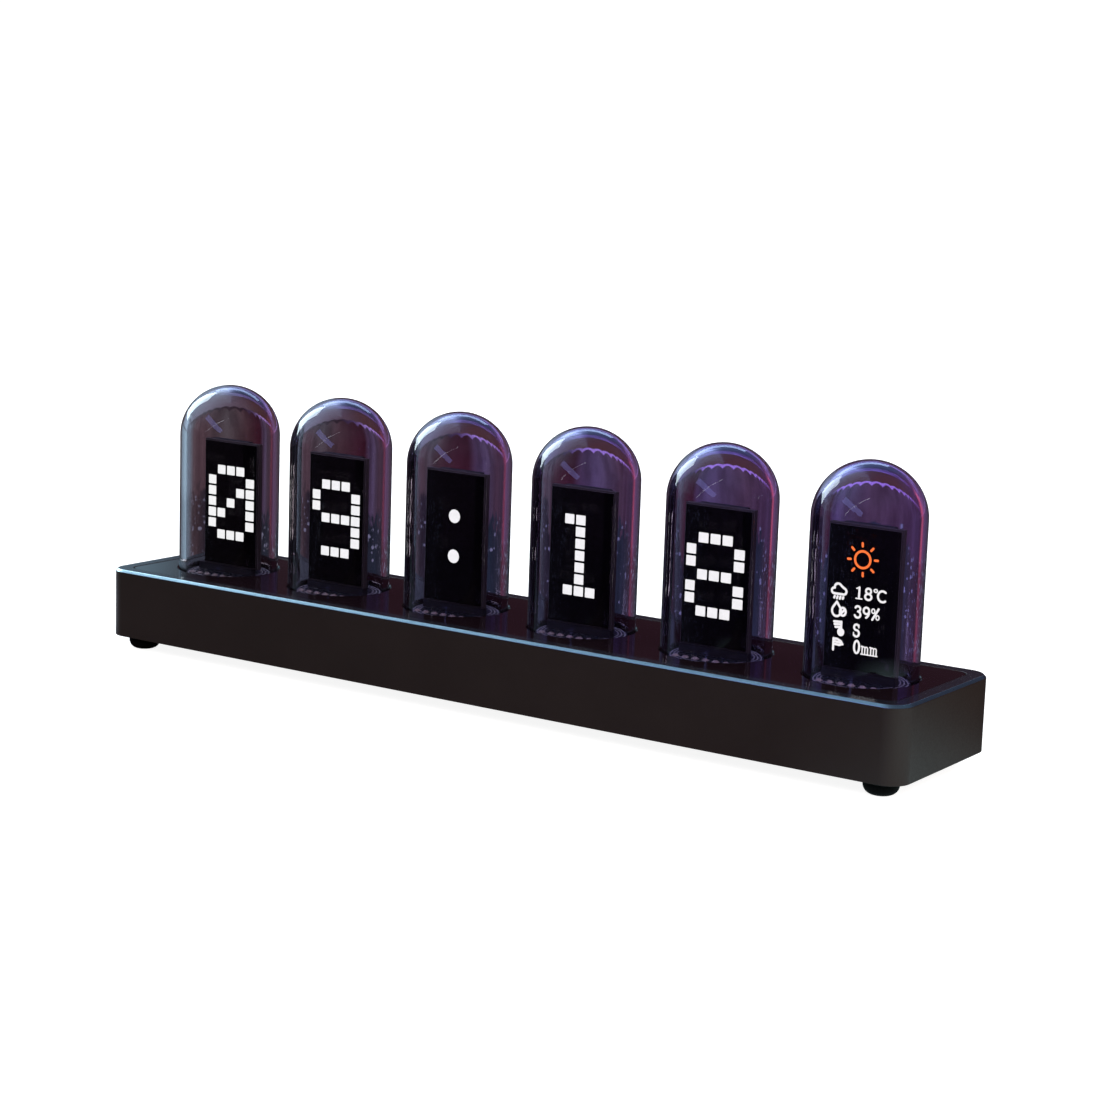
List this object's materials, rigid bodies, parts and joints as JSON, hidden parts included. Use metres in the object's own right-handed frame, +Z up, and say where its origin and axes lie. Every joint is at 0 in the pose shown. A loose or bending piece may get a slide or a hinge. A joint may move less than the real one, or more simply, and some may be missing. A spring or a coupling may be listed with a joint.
{
  "type": "tube display clock",
  "caption": "Desk clock with glass tube domes over small upright screens that show the time and the weather, on a long low dark base.",
  "frame": {"origin": "on the table, under the middle of the base", "axes": "+X along the base to the right as seen from the front, +Y to the back, +Z up"},
  "size_m": [0.222, 0.044, 0.067],
  "materials": {
    "housing_anodised": "dark brown-black anodised, satin",
    "panel_gloss": "mirror-gloss black acrylic",
    "tube_glass": "smoky violet-tinted clear glass",
    "display_black": "black screen glass",
    "bracket_plastic": "matt black moulded",
    "carrier_black": "gloss black solder mask",
    "circuit_board": "green solder mask",
    "connector_plastic": "black moulded",
    "pin_metal": "tinned pins with solder",
    "brass": "turned brass",
    "flex_film": "amber polyimide film",
    "silicone": "dark silicone",
    "inner_plastic": "black moulded",
    "screw_steel": "blackened steel",
    "shield_steel": "nickel-plated steel",
    "button_plastic": "matt black-brown",
    "cover_plastic": "fine-textured black",
    "foot_rubber": "black rubber"
  },
  "bodies": {
    "clock": {"base_housing": "housing_anodised", "top_panel": "panel_gloss", "tube_tray": "inner_plastic", "tube_seals": "silicone", "tray_screws": "screw_steel", "display_flexes": "flex_film", "bracket_screws": "screw_steel", "display_posts": "brass", "header_strips": "connector_plastic", "header_pins": "pin_metal", "header_sockets": "connector_plastic", "main_board": "circuit_board", "board_screws": "screw_steel", "radio_board": "circuit_board", "radio_shield": "shield_steel", "board_chips": "connector_plastic", "coin_cell": "shield_steel", "coin_cell_holder": "connector_plastic", "usb_c_shell": "shield_steel", "usb_c_tongue": "connector_plastic", "tact_switches": "connector_plastic", "bottom_cover": "cover_plastic", "cover_screws": "screw_steel", "rubber_feet": "foot_rubber", "glass_tube_1": "tube_glass", "display_1": "display_black", "display_bracket_1": "bracket_plastic", "carrier_board_1": "carrier_black", "glass_tube_2": "tube_glass", "display_2": "display_black", "display_bracket_2": "bracket_plastic", "carrier_board_2": "carrier_black", "glass_tube_3": "tube_glass", "display_3": "display_black", "display_bracket_3": "bracket_plastic", "carrier_board_3": "carrier_black", "glass_tube_4": "tube_glass", "display_4": "display_black", "display_bracket_4": "bracket_plastic", "carrier_board_4": "carrier_black", "glass_tube_5": "tube_glass", "display_5": "display_black", "display_bracket_5": "bracket_plastic", "carrier_board_5": "carrier_black", "glass_tube_6": "tube_glass", "display_6": "display_black", "display_bracket_6": "bracket_plastic", "carrier_board_6": "carrier_black"},
    "button_mode": {"button_mode": "button_plastic"},
    "button_minus": {"button_minus": "button_plastic"},
    "button_plus": {"button_plus": "button_plastic"}
  },
  "joints": [
    {"name": "button_mode_press", "type": "slide", "parent": "clock", "child": "button_mode", "axis": [0, -1, 0], "range_m": [0, 0.0004], "stiffness_N_per_m": 1000, "springref_m": -0.0015},
    {"name": "button_minus_press", "type": "slide", "parent": "clock", "child": "button_minus", "axis": [0, -1, 0], "range_m": [0, 0.0004], "stiffness_N_per_m": 1000, "springref_m": -0.0015},
    {"name": "button_plus_press", "type": "slide", "parent": "clock", "child": "button_plus", "axis": [0, -1, 0], "range_m": [0, 0.0004], "stiffness_N_per_m": 1000, "springref_m": -0.0015}
  ]
}
